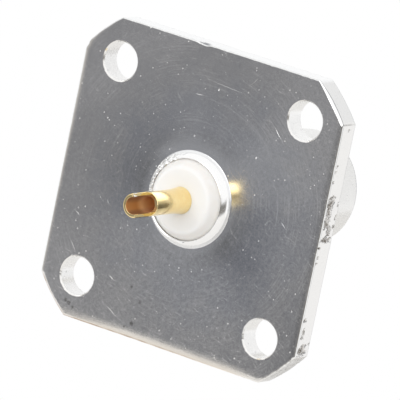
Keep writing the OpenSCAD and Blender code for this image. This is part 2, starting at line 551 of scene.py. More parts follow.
print("edges softened on the cup:", soften_cut_edges(contact, cup_edge_round))

# %% Raise the burrs
# Pixel of the photograph and radius in mm of the burrs that the cutter left on the cup's edges
BURRS = {"upper edge": (135.5, 194.5, 0.32), "lower edge": (131.5, 216.5, 0.20)}
burr_height = 0.12
burr_grain = 9


def fade(value, start, end):
    """0 before start, 1 after end, and a smooth step between them."""
    t = min(max((value - start) / (end - start), 0), 1)
    return t * t * (3 - 2 * t)


def raise_burrs(piece):
    """Lifts ragged specks of metal off the cut edges, where the photograph shows them, and marks them."""
    facing = Vector((math.cos(cup_cut_angle), 0, math.sin(cup_cut_angle)))
    layer = piece.data.attributes.new("burr", "FLOAT", "POINT")
    lifted = 0
    for u, v, radius in BURRS.values():
        spot = on_plane(u, v, facing)
        for vertex in piece.data.vertices:
            place = vertex.co / MM
            near = fade((place - spot).length, radius, 0.2 * radius)
            if near > 0:
                ragged = 0.5 + noise.noise(place * burr_grain)
                vertex.co += facing * burr_height * near * ragged * MM
                layer.data[vertex.index].value = near
                lifted += 1
    return lifted


print("points lifted as burrs:", raise_burrs(contact))
finish_mesh(contact, angle=20)

# %% [markdown]
# ## Body: the turned core
# The body is one piece of plated brass. Its collar was rolled in over the plastic, and its barrel ends in
# the mouth that takes the plug. The core is turned first, and its two open ends are the rings where the
# flange will be welded on. The collar is two soft rounds, whose radii follow from its width and height.

# %% Turn the core
RING = 384
rim_overhang = 0.03
rim_r = bore_r - rim_overhang
rim_edge = 0.04
foot_r = 4.03
foot_round = 0.08
# Tilts in degrees from -Y, where the rim's edge ends, where the slope turns over, and where the foot begins
slope_tilt, turn_tilt, foot_tilt = 34, 46, 76
shoulder_r = 5.65
shoulder_len = 4.0
shoulder_y = flange_t + shoulder_len
barrel_r = 4.8
barrel_break = 0.3
mouth_r = 4.05
lead_in = 0.15


def round_reach(tilt, end=0):
    """How far out and how far down a round of radius 1 goes, between two tilts in degrees from -Y."""
    a, b = math.radians(tilt), math.radians(end)
    return math.sin(a) - math.sin(b), math.cos(b) - math.cos(a)


def step_back(spot, radius, tilt):
    """The middle of a round that passes a spot at a tilt."""
    a = math.radians(tilt)
    return spot[0] - radius * math.sin(a), spot[1] + radius * math.cos(a)


edge_out, edge_down = (rim_edge * v for v in round_reach(slope_tilt))
foot_out, foot_up = (foot_round * v for v in round_reach(foot_tilt))
slope_out, slope_down = round_reach(turn_tilt, slope_tilt)
turn_out, turn_down = round_reach(foot_tilt, turn_tilt)
roll_width = foot_r - foot_out - rim_r - rim_edge - edge_out
roll_height = -rim_y - edge_down - foot_up
roll_cross = slope_out * turn_down - turn_out * slope_down
slope_r = (roll_width * turn_down - roll_height * turn_out) / roll_cross
turn_r = (roll_height * slope_out - roll_width * slope_down) / roll_cross
turn_middle = step_back((foot_r - foot_out, -foot_up), turn_r, foot_tilt)
slope_middle = step_back(turn_middle, slope_r - turn_r, turn_tilt)
core = turn("core", [
    *arc((foot_r, -foot_round), foot_round, 90, 90 + foot_tilt, 6),
    *arc(turn_middle, turn_r, foot_tilt - 90, turn_tilt - 90, 11),
    *arc(slope_middle, slope_r, turn_tilt - 90, slope_tilt - 90, 11),
    *arc((rim_r + rim_edge, rim_y + rim_edge), rim_edge, slope_tilt - 90, -180, 5),
    (bore_r, bevel_y),
    (bore_r, lip_y),
    (lip_r, lip_y),
    (lip_r, seat_y),
    (mouth_r, seat_y),
    (mouth_r, mate_y - lead_in),
    (mouth_r + lead_in, mate_y),
    *arc((barrel_r - barrel_break, mate_y - barrel_break), barrel_break, 90, 0, 6),
    (barrel_r, shoulder_y),
    *arc((shoulder_r - barrel_break, shoulder_y - barrel_break), barrel_break, 90, 0, 6),
    (shoulder_r, flange_t),
], RING, plating)
print(f"collar: rounds of {slope_r:.2f} and {turn_r:.2f} mm, {2 * foot_r:.2f} mm wide at its foot")

# %% [markdown]
# ## Body: the hammered rim
# The tool that rolled the collar left it jagged from its top round to its left, and a fine groove on below.
# Noise at two sizes gives the jags. Each point sinks into the collar, as much inwards as down.

# %% Hammer the rim
jag_depth = 0.13
coarse_jags, fine_jags = 2.6, 7
rim_groove_r = 3.47
rim_groove_half = 0.055
rim_groove_floor = 0.02
rim_groove_depth = 0.14
collar_above_foot = -0.1
sink_slant = 0.7
# Angles in degrees round the collar where a mark begins, is full, begins to fade, and ends
JAGGED = (92, 138, 192, 210)
GROOVED = (186, 205, 262, 290)


def between(value, start, full, fades, end):
    """1 from full to fades, and 0 before start and after end."""
    return fade(value, start, full) * fade(value, end, fades)


def hammer_rim(piece):
    """Sinks the collar's jagged stretch and its groove, and counts the points that moved."""
    moved = 0
    for vertex in piece.data.vertices:
        spot = vertex.co / MM
        radius = math.hypot(spot.x, spot.z)
        if spot.y < collar_above_foot and rim_r - 0.01 < radius < foot_r:
            angle = math.degrees(math.atan2(spot.z, spot.x)) % 360
            jag = 0.7 * noise.noise(spot * coarse_jags) + noise.noise(spot * fine_jags)
            sunk = jag_depth * between(angle, *JAGGED) * max(jag + 0.2, 0)
            in_groove = fade(abs(radius - rim_groove_r), rim_groove_half, rim_groove_floor)
            sunk += rim_groove_depth * between(angle, *GROOVED) * in_groove
            inwards = 1 - sink_slant * sunk / radius
            vertex.co = Vector((spot.x * inwards, spot.y + sink_slant * sunk, spot.z * inwards)) * MM
            moved += sunk > 0
    return moved


print("rim points hammered:", hammer_rim(core))

# %% [markdown]
# ## Body: the flange's outline
# The flange was cut square from a turned blank, so four flats meet four short arcs. The outline is walked
# once, stretch by stretch. Each step knows its outward normal, and near a corner also a slide along the
# edge, which keeps the sections of two stretches from crossing each other.

# %% Walk the outline
corner_z = math.sqrt(flange_corner_r ** 2 - flange_half ** 2)
corner_angle = math.atan2(corner_z, flange_half)
corner_span = math.pi / 2 - 2 * corner_angle
flat_length = 2 * corner_z
corner_length = flange_corner_r * corner_span
slide_length = 0.9
fine_step, coarse_step = 0.065, 0.16
softened_steps = 6
RIGHT, TOP_RIGHT, TOP, TOP_LEFT, LEFT, BOTTOM_LEFT, BOTTOM, BOTTOM_RIGHT = range(8)


def outline_step(stretch, t):
    """Point, outward normal and slide away from the nearest corner, at a share of one stretch."""
    quarter, is_corner = divmod(stretch, 2)
    if is_corner:
        angle = corner_angle + corner_span * t
        point = Vector((math.cos(angle), math.sin(angle))) * flange_corner_r
        normal = point.normalized()
        length = corner_length
    else:
        point = Vector((flange_half, corner_z * (2 * t - 1)))
        normal = Vector((1, 0))
        length = flat_length
    tangent = Vector((-normal.y, normal.x))
    lean = fade(t * length, slide_length, 0) - fade((1 - t) * length, slide_length, 0)
    slide = tangent * math.tan(corner_angle / 2) * lean
    turn_by = Matrix.Rotation(quarter * math.pi / 2, 2)
    return [turn_by @ v for v in (point, normal, slide)]


def steps_along(stretch):
    """Shares of a stretch where the outline gets a point, closer together where the right side is torn."""
    length = corner_length if stretch % 2 else flat_length
    count = round(length / (fine_step if stretch in (RIGHT, BOTTOM_RIGHT) else coarse_step))
    return [i / count for i in range(count)]


def soften_corner(steps, corner, reach):
    """The outline with one corner rounded: each step near it takes the mean of its neighbours."""
    softened = list(steps)
    for i in range(corner - reach + 1, corner + reach):
        spread = reach - abs(i - corner)
        near = steps[i - spread:i + spread + 1]
        means = [sum((step[k] for step in near), Vector((0, 0))) / len(near) for k in (2, 3, 4)]
        softened[i] = (*steps[i][:2], means[0], means[1].normalized(), means[2])
    return softened


outline = [(stretch, t, *outline_step(stretch, t)) for stretch in range(8) for t in steps_along(stretch)]
left_start = next(i for i, step in enumerate(outline) if step[0] == LEFT)
outline = soften_corner(outline, left_start, softened_steps)
print("outline points:", len(outline))

# %% [markdown]
# ## Body: tears, nicks and wear along the sides
# The photograph shows a torn patch on the right side, where something scraped the soft metal, and smaller
# marks below it. They are cut into the mesh, so they catch the light from any side. The same masks are kept
# as attributes, and the plating's material reads them to dull and darken the torn metal.

# %% Measure the tears
# Pixel of the photograph, half length along the edge and half width across it, in mm
TEARS = {
    "mark near the top": (349, 131, 0.13, 0.12),
    "first fleck on the edge": (337.5, 167, 0.12, 0.11),
    "second fleck on the edge": (336.3, 172, 0.12, 0.10),
    "third fleck on the edge": (333, 183, 0.11, 0.10),
    "upper patch": (331, 203, 0.62, 0.50),
    "line out of the upper patch": (334, 197.8, 0.11, 0.26),
    "fleck beside the upper patch": (338.5, 205, 0.20, 0.16),
    "fleck beside the middle patch": (335.5, 218, 0.22, 0.16),
    "fleck beside the lower patch": (333, 227, 0.20, 0.14),
    "middle patch": (328.5, 214, 0.55, 0.40),
    "lower patch": (326.5, 224, 0.48, 0.40),
    "slanting groove": (328, 232.5, 0.50, 0.30),
    "hook": (325.5, 240.5, 0.26, 0.70),
    "nick under the hook": (319.5, 248.5, 0.12, 0.20),
    "first dot": (317.5, 258, 0.09, 0.12),
    "second dot": (316.5, 264, 0.10, 0.14),
    "scuff near the corner": (305, 321, 0.20, 0.20),
    "long scuff": (303, 334, 0.45, 0.20),
    "corner patch": (301.5, 351, 0.55, 0.55),
    "dark spot at the front": (309, 344, 0.10, 0.16),
}
tear_places = [(*on_right_side(u, v), along, across) for u, v, along, across in TEARS.values()]


def noise_at(x, y, z):
    return noise.noise(Vector((x, y, z)))


def torn_at(y, z):
    """How torn the flange's right side is, from 0 to 1."""
    ragged = 0.55 * noise_at(3.1, y * 3.5, z * 3.5) + 0.4 * noise_at(9.7, y * 9, z * 9)
    nearest = min(math.hypot((z - tz) / along, (y - ty) / across) for tz, ty, along, across in tear_places)
    return fade(nearest + ragged, 1.05, 0.55)


print("tears measured:", len(tear_places))

# %% [markdown]
# ## Body: the edge's section
# The edges differ: the bottom one is rolled soft, the left one a little, and the top one is crisp.
# At a place on the outline the section runs from the rear face over the roll and the edge, down the side and
# round to the front face. Its roll and its radius come from the two nearest stations.

# %% Shape the edge
ROLL_ROWS, ROUND_ROWS, SIDE_ROWS, FRONT_ROWS = 6, 4, 20, 3
front_round = 0.1
border_shine = 0.4
# Roll width, roll drop and edge radius in mm, at stations of outline stretch plus share of its length
EDGE_STATIONS = [
    (RIGHT + 0.10, (0.65, 0.045, 0.14)),
    (RIGHT + 0.90, (0.65, 0.045, 0.14)),
    (TOP_RIGHT + 0.5, (0.20, 0.010, 0.22)),
    (TOP + 0.10, (0.30, 0.010, 0.06)),
    (TOP + 0.90, (0.30, 0.010, 0.06)),
    (TOP_LEFT + 0.5, (0.40, 0.030, 0.06)),
    (LEFT + 0.10, (0.60, 0.070, 0.06)),
    (LEFT + 0.90, (0.50, 0.050, 0.06)),
    (BOTTOM_LEFT + 0.5, (0.15, 0.010, 0.12)),
    (BOTTOM + 0.05, (0.15, 0.020, 0.10)),
    (BOTTOM + 0.35, (0.50, 0.130, 0.08)),
    (BOTTOM + 0.80, (0.42, 0.100, 0.08)),
    (BOTTOM_RIGHT + 0.2, (0.20, 0.010, 0.07)),
    (BOTTOM_RIGHT + 0.8, (0.20, 0.010, 0.07)),
]


def edge_shape(place):
    """Roll width, roll drop and edge radius at a place on the outline."""
    first, last = EDGE_STATIONS[0], EDGE_STATIONS[-1]
    stations = [(last[0] - 8, last[1]), *EDGE_STATIONS, (first[0] + 8, first[1])]
    for (a, at_a), (b, at_b) in zip(stations, stations[1:]):
        if a <= place <= b:
            t = fade(place, a, b)
            return [p + (q - p) * t for p, q in zip(at_a, at_b)]


def edge_section(width, drop, radius):
    """Distance in, station y and share of bright edge, in rows from the rear face to the front face."""
    rows = []
    for i in range(ROLL_ROWS):
        share = i / (ROLL_ROWS - 1)
        rows.append((radius + width * (1 - share), drop * share ** 2, border_shine * (share == 1)))
    slope = math.atan2(2 * drop, width)
    for i in range(1, ROUND_ROWS + 1):
        a = slope + (math.pi / 2 - slope) * i / ROUND_ROWS
        inset = radius * (1 - math.sin(a)) / (1 - math.sin(slope))
        station = drop + radius * (math.cos(slope) - math.cos(a))
        rows.append((inset, station, border_shine if i == ROUND_ROWS else 1.0))
    top, bottom = rows[-1][1], flange_t - front_round
    rows += [(0, top + (bottom - top) * i / SIDE_ROWS, 0) for i in range(1, SIDE_ROWS + 1)]
    for i in range(1, FRONT_ROWS + 1):
        a = math.pi / 2 * i / FRONT_ROWS
        rows.append((front_round * (1 - math.cos(a)), bottom + front_round * math.sin(a), 0))
    return rows


print("rows in a section:", len(edge_section(*edge_shape(TOP))))

# %% [markdown]
# ## Body: hang the edge on the outline
# Each point of a section is pushed in by what happened to its side: a nick at the top, the tears on the
# right, a rough corner under them. What the material has to know, such as how torn a point is, is kept as
# a mark. Neighbouring sections are then joined into quads.

# %% Build the flange's edge
body_points, body_faces = [], []
marks = {"torn": {}, "worn": {}, "stain": {}, "bored": {}, "edge": {}}
# The nick in the top edge, by its pixel
TOP_NICK = (204, 48)
top_nick_x = on_rear_face(*TOP_NICK)[0]
wave_depth, bump_depth, nick_depth = 0.02, 0.06, 0.10
shallow_tear, deep_tear, corner_pit = 0.02, 0.22, 0.05


def add_point(x, y, z, **own_marks):
    """A new point of the body, with its marks. Gives its number."""
    number = len(body_points)
    body_points.append((x, y, z))
    for name, value in own_marks.items():
        marks[name][number] = value
    return number


def edge_vertex(stretch, t, point, normal, slide, inset, y, edge):
    """One point of the edge, with its tears, and its marks."""
    own_marks = {"edge": edge}
    wave = wave_depth * noise_at(point.x * 0.9, 0, point.y * 0.9)
    if stretch == TOP:
        bumpy = fade(point.x, top_nick_x - 7, top_nick_x - 5) * fade(y, 0.5, 0.2)
        wave += bump_depth * noise_at(point.x * 4, 2.0, y * 3) * bumpy
        wave -= nick_depth * fade(abs(point.x - top_nick_x), 0.8, 0.1) * fade(y, 0.8, 0.1)
    flat = point + (slide - normal) * inset + normal * min(wave, 0)
    in_edge = fade(inset, 0.25, 0.05)
    # A painted shade: a thin dark line down the joint of the right side and the top right corner, kept in the
    # stain mark
    if stretch == TOP_RIGHT and t == 0 and inset < 0.05:
        own_marks["stain"] = 0.3 + 0.6 * fade(y, 2.0, 0.3)
    if stretch == RIGHT and in_edge > 0:
        torn = torn_at(y, point.y) * in_edge
        grain = 0.5 + 0.5 * noise_at(1.7, y * 9, point.y * 9)
        flat = flat - normal * (shallow_tear + deep_tear * grain) * torn
        own_marks["torn"] = torn
    if stretch == BOTTOM_RIGHT and in_edge > 0:
        rough = fade(point.x, 9.5, 10.8) * fade(point.y, -9.0, -9.6) * in_edge
        grain = noise_at(point.x * 4, y * 6, point.y * 4)
        flat = flat + normal * corner_pit * min(grain, 0) * rough
        own_marks["torn"] = 0.25 * rough + 0.3 * rough * fade(grain, -0.3, 0.4)
    if stretch in (BOTTOM_LEFT, BOTTOM) and inset < 0.1:
        along = stretch - BOTTOM_LEFT + t
        patchy = 0.6 + 0.4 * fade(along, 1.4, 0.9) + 0.6 * noise_at(point.x * 1.3, 5.0, point.y * 1.3)
        own_marks["worn"] = fade(y, 0.5, 0.12) * between(along, 0.0, 0.2, 1.3, 1.95) * min(patchy, 1)
    return add_point(flat.x, y, flat.y, **own_marks)


edge_grid = [[edge_vertex(*step, *row) for row in edge_section(*edge_shape(step[0] + step[1]))]
             for step in outline]
for here, after in zip(edge_grid, edge_grid[1:] + edge_grid[:1]):
    for row in range(len(here) - 1):
        body_faces.append((here[row], after[row], after[row + 1], here[row + 1]))
print("edge faces:", len(body_faces))

# %% [markdown]
# ## Body: screw holes
# Four plain drilled holes, with a small break at both mouths. The drill left the rear mouths a bit ragged, so
# the ring of points there wanders by a few hundredths of a millimetre.

# %% Build the hole walls
HOLE_RING = 112
hole_break = 0.12
chip_depth = 0.035
hole_centres = [Vector((sx, sz)) * hole_pitch / 2 for sx in (-1, 1) for sz in (-1, 1)]
hole_stations = [(hole_break, 0), (0, hole_break), (0, 0.5), (0, 1.0), (0, 1.5),
                 (0, flange_t - hole_break), (hole_break, flange_t)]


def round_steps(count):
    """Cosine and sine of angles that are spread evenly round a circle."""
    angles = (math.tau * i / count for i in range(count))
    return [(math.cos(a), math.sin(a)) for a in angles]


def hole_grid(centre):
    """Rings of point numbers down one hole, from the rear face to the front face."""
    rings = []
    for widen, y in hole_stations:
        ring = []
        for way in map(Vector, round_steps(HOLE_RING)):
            ragged = noise_at(centre.x + way.x * 6, centre.y + way.y * 6, 0)
            chip = chip_depth * fade(ragged, 0.1, 0.5) * fade(way.x, 0.1, -0.5) * fade(y, 0.3, 0)
            spot = centre + way * (hole_r + widen + chip)
            ring.append(add_point(spot.x, y, spot.y, bored=1.0 - fade(widen, 0, hole_break)))
        rings.append(ring)
    return rings


hole_rings = [hole_grid(centre) for centre in hole_centres]
for rings in hole_rings:
    for upper, lower in zip(rings, rings[1:]):
        for i in range(HOLE_RING):
            j = (i + 1) % HOLE_RING
            body_faces.append((upper[i], lower[i], lower[j], upper[j]))
print("holes:", len(hole_rings))

# %% [markdown]
# ## Body: dents and scratches in the rear face
# The face is flat metal that has been knocked about in a drawer. Each mark that the photograph shows plainly
# is placed by its pixel and pressed into the face as a real dent or groove, a few hundredths of
# a millimetre deep, so that it mirrors another part of the room than the flat round it.

# %% Place the dents
# Pixel of the photograph and radius in mm of each mark. The dent takes up a share of its mark
DENTS = {
    "largest, above the collar": (219, 90, 0.17),
    "right of it": (248.5, 92.7, 0.13), "beside the top right hole": (266.8, 108.5, 0.11),
    "near the top edge": (169.8, 71.7, 0.10), "left of the top": (142.2, 102.3, 0.11),
    "upper left": (143.8, 91.6, 0.08), "upper left again": (147.3, 80.4, 0.08),
    "under the top left hole": (97.3, 90.6, 0.09), "left edge": (85.6, 115.1, 0.08),
    "over the top left hole": (100.4, 43.2, 0.09), "above the collar": (231.6, 105.9, 0.10),
    "right of the collar": (247.4, 120.7, 0.10), "close to the collar": (230.6, 130, 0.08),
    "right edge, high": (329.1, 130.4, 0.10), "right edge": (318.9, 140.1, 0.10),
    "right middle": (277, 191.1, 0.08), "right middle again": (292.9, 193.2, 0.08),
    "by the tear": (310.5, 224.5, 0.12), "low left": (147, 270.6, 0.10),
    "below the cup": (125, 259.4, 0.11), "low left again": (145.6, 263.5, 0.09),
    "low middle": (183.2, 295.1, 0.09), "near the bottom": (203, 336.4, 0.09),
    "under the collar": (221.8, 273.5, 0.08), "right of the bottom": (287.3, 290.1, 0.09),
    "left of the cup": (107.8, 201.5, 0.09), "under the cup": (127.5, 221.5, 0.09),
}
dent_share = 0.5
dent_steepness = 3.5
# Share of the radius, share of the depth, and count of points, of the rings round a dent's middle
DENT_RINGS = ((0.5, 0.7, 7), (1.0, 0.0, 12), (1.4, 0.0, 14))
# x, depth, z and stain of the points that the rear face gets
face_extra = []


def add_dent(x, z, radius):
    """A shallow cup: its middle, two rings up to its brim, and one outside that keeps the flat flat."""
    depth = dent_steepness * radius ** 2
    face_extra.append((x, depth, z, 0))
    for share, sink, count in DENT_RINGS:
        for i, (across, up) in enumerate(round_steps(count)):
            r = radius * share * (1 + 0.25 * noise_at(x, z, math.tau * i / count * 1.3))
            face_extra.append((x + r * across, depth * sink, z + r * up, 0))


for u, v, radius in DENTS.values():
    add_dent(*on_rear_face(u, v), dent_share * radius)
print(f"{len(DENTS)} dents: {len(face_extra)} points")

# %% Draw the grooves
# First and last pixel, and half width in mm of each mark. The groove takes up a share of its mark
GROOVES = {
    "over the collar": (196.3, 93.7, 203.0, 95.2, 0.045),
    "long curved one": (212.0, 81.0, 244.0, 94.0, 0.020),
    "by the top right hole": (275.5, 128.4, 280.6, 138.0, 0.035),
    "near the top right": (260.0, 77.0, 248.0, 88.0, 0.020),
    "low left": (109.2, 275.7, 113.3, 279.8, 0.045),
    "lower left": (107.0, 306.0, 115.0, 315.5, 0.025),
    "left side": (71.0, 240.0, 75.5, 252.0, 0.025),
    "right middle": (281.5, 223.0, 285.0, 228.7, 0.035),
    "by the cup": (107.5, 199.0, 108.5, 203.0, 0.040),
    "left": (77.0, 211.5, 79.0, 214.5, 0.045),
}
groove_share = 0.6
groove_step = 0.14
groove_steepness = 0.27
face_lines = []


def add_groove(start, end, half_width):
    """A furrow: its bottom line, its two brims, and a line outside each that keeps the flat flat."""
    start, end = Vector(start), Vector(end)
    along = end - start
    side = Vector((-along.y, along.x)).normalized()
    count = max(3, round(along.length / groove_step))
    for shift, sink in ((-2, 0), (-1, 0), (0, groove_steepness * half_width), (1, 0), (2, 0)):
        for i in range(count + 1):
            taper = math.sin(math.pi * (i + 0.4) / (count + 0.8))
            sway = 0.04 * noise_at(start.x, start.y, i * 0.3)
            spot = start + along * (i / count) + side * (shift * half_width * taper + sway)
            face_extra.append((spot.x, sink * taper, spot.y, 0))
            if i:
                face_lines.append((len(face_extra) - 2, len(face_extra) - 1))


for u0, v0, u1, v1, half_width in GROOVES.values():
    add_groove(on_rear_face(u0, v0), on_rear_face(u1, v1), groove_share * half_width)
# A ring of points close to the collar keeps the flat's shading flat up to its foot
foot_ring_gap = 0.06
foot_ring_r = foot_r + foot_ring_gap
face_extra += [(foot_ring_r * across, 0, foot_ring_r * up, 0) for across, up in round_steps(RING // 2)]
print(f"{len(GROOVES)} grooves: {len(face_lines)} lines")

# %% Lay the stains
# Pixel and radius in mm
STAINS = {
    "lower middle": (131.6, 286.9, 0.16), "lower middle again": (139.8, 302.2, 0.18),
    "round spot": (131.3, 323.4, 0.24), "beside it": (124, 326.7, 0.13),
    "corner, one": (65.5, 299.5, 0.22), "corner, two": (68.5, 302.5, 0.25),
    "corner, three": (72.5, 307, 0.15),
}
stain_step = 0.05
stain_margin = 0.8
flat_half = flange_half - stain_margin


def add_stain(x, z, radius):
    """A patch of close points, dark in the middle and fading out."""
    reach = math.ceil(radius / stain_step)
    for i in range(-reach, reach + 1):
        for j in range(-reach, reach + 1):
            dx, dz = (i + 0.5 * (j % 2)) * stain_step, j * stain_step
            share = math.hypot(dx, dz) / radius
            ragged = share + 0.35 * noise.noise(Vector((x + dx, z + dz, 4.0)) * 7)
            if share < 1.2 and max(abs(x + dx), abs(z + dz)) < flat_half:
                face_extra.append((x + dx, 0, z + dz, fade(ragged, 1.0, 0.45)))


for u, v, radius in STAINS.values():
    add_stain(*on_rear_face(u, v), radius)
print(f"{len(STAINS)} stains: the rear face now gets {len(face_extra)} points")

# %% [markdown]
# ## Body: fill the two faces
# A flat face with five holes can't be one polygon that shades well. A constrained Delaunay
# triangulation joins the outline, the holes, the dents and an even scatter of points into small triangles.
# It also fills the holes, so triangles whose corners all lie on one loop are tested and dropped there.

# %% Scatter points on a face
rear_spacing, front_spacing = 0.55, 0.8
row_height = 0.87
edge_margin, hole_margin = 1.0, 0.3


def is_open(spot, inner_r):
    """True for a spot on the flange that is clear of its edges, of the holes and of the core."""
    inside = max(abs(spot.x), abs(spot.y)) < flange_half - edge_margin
    inside = inside and spot.length < flange_corner_r - edge_margin
    clear = all((spot - c).length > hole_r + hole_break + hole_margin for c in hole_centres)
    return inside and clear and spot.length > inner_r + hole_margin


def even_points(spacing, inner_r, keep_off):
    """A staggered grid of points on the flange, clear of the points to keep off."""
    found = []
    steps = math.ceil(flange_half / spacing)
    taken = np.array(keep_off) if keep_off else np.full((1, 2), np.inf)
    for i in range(-steps, steps + 1):
        for j in range(-steps, steps + 1):
            spot = Vector(((i + 0.5 * (j % 2)) * spacing, j * spacing * row_height))
            if is_open(spot, inner_r):
                nearest = np.min(np.hypot(taken[:, 0] - spot.x, taken[:, 1] - spot.y))
                if nearest > 0.4 * spacing:
                    found.append(spot)
    return found


print("points scattered on the front face:", len(even_points(front_spacing, shoulder_r, [])))

# %% Fill the faces
sliver = 1e-4
same_spot = 1e-6


def ring_points(radius, y):
    """The core's open ring, as new points of the flange."""
    return [add_point(radius * across, y, radius * up) for across, up in round_steps(RING)]


def lies_between(triangle, place_in):
    """False for a triangle that fills a hole or lies outside the outline, which is the first loop."""
    places = [place_in.get(n) for n in triangle]
    if None in places or len({which for which, _ in places}) > 1:
        return True
    is_outline = places[0][0] == 0
    a, b, c = (Vector(body_points[n]).xz for _, n in sorted(zip((i for _, i in places), triangle)))
    turn_of = (b - a).cross(c - a)
    return turn_of > sliver if is_outline else turn_of < -sliver


def fill_face(loops, inner_r, y, extra, lines, spacing):
    """Triangles between closed loops of points, all at station y, and the extra points."""
    numbers = [n for loop in loops for n in loop]
    edges = []
    for loop in loops:
        first = numbers.index(loop[0])
        edges += [(first + i, first + (i + 1) % len(loop)) for i in range(len(loop))]
    shift = len(numbers)
    edges += [(shift + a, shift + b) for a, b in lines]
    numbers += [add_point(x, y + sink, z, stain=stain) for x, sink, z, stain in extra]
    scattered = even_points(spacing, inner_r, [(x, z) for x, _, z, _ in extra])
    numbers += [add_point(spot.x, y, spot.y) for spot in scattered]
    flat = [Vector((body_points[n][0], body_points[n][2])) for n in numbers]
    made = delaunay_2d_cdt(flat, edges, [], 0, same_spot)
    placed, triangles, origin = made[0], made[2], made[3]
    number_of = [numbers[sources[0]] if sources else add_point(spot.x, y, spot.y)
                 for spot, sources in zip(placed, origin)]
    place_in = {n: (which, i) for which, loop in enumerate(loops) for i, n in enumerate(loop)}
    numbered = (tuple(number_of[i] for i in triangle) for triangle in triangles)
    kept = [triangle for triangle in numbered if lies_between(triangle, place_in)]
    body_faces.extend(kept)
    return len(kept)


def face_loops(row, radius, y):
    """The outline, the holes and the core's ring, on the first or the last row of the walls."""
    outer = [column[row] for column in edge_grid]
    return [outer, *(rings[row] for rings in hole_rings), ring_points(radius, y)]


rear_loops = face_loops(0, foot_r, 0)
front_loops = face_loops(-1, shoulder_r, flange_t)
print("rear face:", fill_face(rear_loops, foot_r, 0, face_extra, face_lines, rear_spacing), "triangles")
print("front face:", fill_face(front_loops, shoulder_r, flange_t, [], [], front_spacing), "triangles")

# %% [markdown]
# ## Body: bayonet lugs
# Two round lugs on the barrel catch the plug's bayonet ring. One lug is turned on the same lathe, and a
# small tree sets copies of it evenly round the barrel, so another count is one number away.

# %% Set the lugs round the barrel
lug_r = 0.975
lug_top = 5.475
lug_root = 0.35
lug_foot = barrel_r - lug_root
lug_from_mouth = 5.3
lug_y = mate_y - lug_from_mouth
lug_break = 0.16
lug_segments = 48


def lug_tree():
    tree, given = new_tree("lugs round the barrel", {
        "Lug": "Geometry", "Count": "Int", "Station": "Float", "Material": "Material"})
    angle = put(tree, "GeometryNodeInputIndex") * (math.tau / given["Count"])
    place = vector_of(tree, 0, given["Station"], 0)
    points = put(tree, "GeometryNodePoints", {"Count": given["Count"], "Position": place})
    facing = put(tree, "FunctionNodeRotateRotation", {
        "Rotation": turned_about(tree, Z_AXIS, -math.pi / 2), "Rotate By": turned_about(tree, Y_AXIS, angle)})
    set_round = put(tree, "GeometryNodeInstanceOnPoints", {
        "Points": points, "Instance": given["Lug"], "Rotation": facing})
    close_tree(tree, set_round, given["Material"])
    return tree


lugs = turn("lugs", [
    (0, lug_foot),
    (lug_r, lug_foot),
    *arc((lug_r - lug_break, lug_top - lug_break), lug_break, 0, 90, 5),
    (0, lug_top),
], lug_segments, plating)
grow(lugs, lug_tree(), count=2, station=lug_y * MM, material=plating)
print("lugs:", len(lugs.data.polygons), "faces")

# %% [markdown]
# ## Body: weld it together
# The core, the flange and the lugs become one mesh. Points that fall on each other along the two rings are
# merged, which leaves the body closed, and the faces are then turned outwards.

# %% Weld the body
body_weld = 2e-6


def weld_body():
    for source in (core, lugs):
        first = len(body_points)
        body_points.extend(tuple(v.co / MM) for v in source.data.vertices)
        body_faces.extend(tuple(first + i for i in face.vertices) for face in source.data.polygons)
        bpy.data.objects.remove(source)
    mesh = bpy.data.meshes.new("plated_body")
    mesh.from_pydata([(x * MM, y * MM, z * MM) for x, y, z in body_points], [], body_faces)
    for name, values in marks.items():
        layer = mesh.attributes.new(name, "FLOAT", "POINT")
        filled = np.zeros(len(body_points), dtype=np.float32)
        filled[list(values.keys())] = list(values.values())
        layer.data.foreach_set("value", filled)
    with edited(mesh) as shell:
        bmesh.ops.remove_doubles(shell, verts=shell.verts, dist=body_weld)
        loose = [v for v in shell.verts if not v.link_faces]
        bmesh.ops.delete(shell, geom=loose, context="VERTS")
        print("open or doubled edges in the body:", sum(1 for e in shell.edges if not e.is_manifold))
    mesh.materials.append(plating)
    return add_object("plated_body", mesh)


body = weld_body()
finish_mesh(body)

# %% [markdown]
# ## Grit on the rear face
# Between the big dents the face is sown with tiny bright specks: raised nicks and grit held in the plating.
# A tree scatters flattened grains over the rear face only, with a fixed seed, and sinks them half way in.

# %% Scatter the grit
grain_rarity = 4.0
grain_height, grain_width = 0.3, 0.6
straight_back = -0.995
below_collar = -0.05


def grit_tree():
    tree, given = new_tree("grit", {
        "Body": "Geometry", "Density": "Float", "Smallest": "Float", "Largest": "Float",
        "Seed": "Int", "Material": "Material"})
    _, normal_y, _ = split(put(tree, "GeometryNodeInputNormal"))
    _, place_y, _ = split(put(tree, "GeometryNodeInputPosition"))
    faces_back = normal_y.calc("LESS_THAN", straight_back)
    is_low = place_y.calc("GREATER_THAN", below_collar * MM)
    sown = put(tree, "GeometryNodeDistributePointsOnFaces", {
        "Mesh": given["Body"], "Density": given["Density"], "Seed": given["Seed"],
        "Selection": faces_back * is_low})
    grain = put(tree, "GeometryNodeMeshIcoSphere", {"Radius": 1.0, "Subdivisions": 1})

    def random_up_to(most, seed):
        limits = {"Min": 0.0, "Max": most, "Seed": seed}
        return put(tree, "FunctionNodeRandomValue", limits, data_type="FLOAT")

    share = random_up_to(1.0, given["Seed"]).calc("POWER", grain_rarity)
    size = share * (given["Largest"] - given["Smallest"]) + given["Smallest"]
    spin = random_up_to(math.tau, given["Seed"] + 1)
    grains = put(tree, "GeometryNodeInstanceOnPoints", {
        "Points": sown, "Instance": grain, "Rotation": turned_about(tree, Y_AXIS, spin),
        "Scale": vector_of(tree, size, size * grain_height, size * grain_width)})
    close_tree(tree, grains, given["Material"])
    return tree


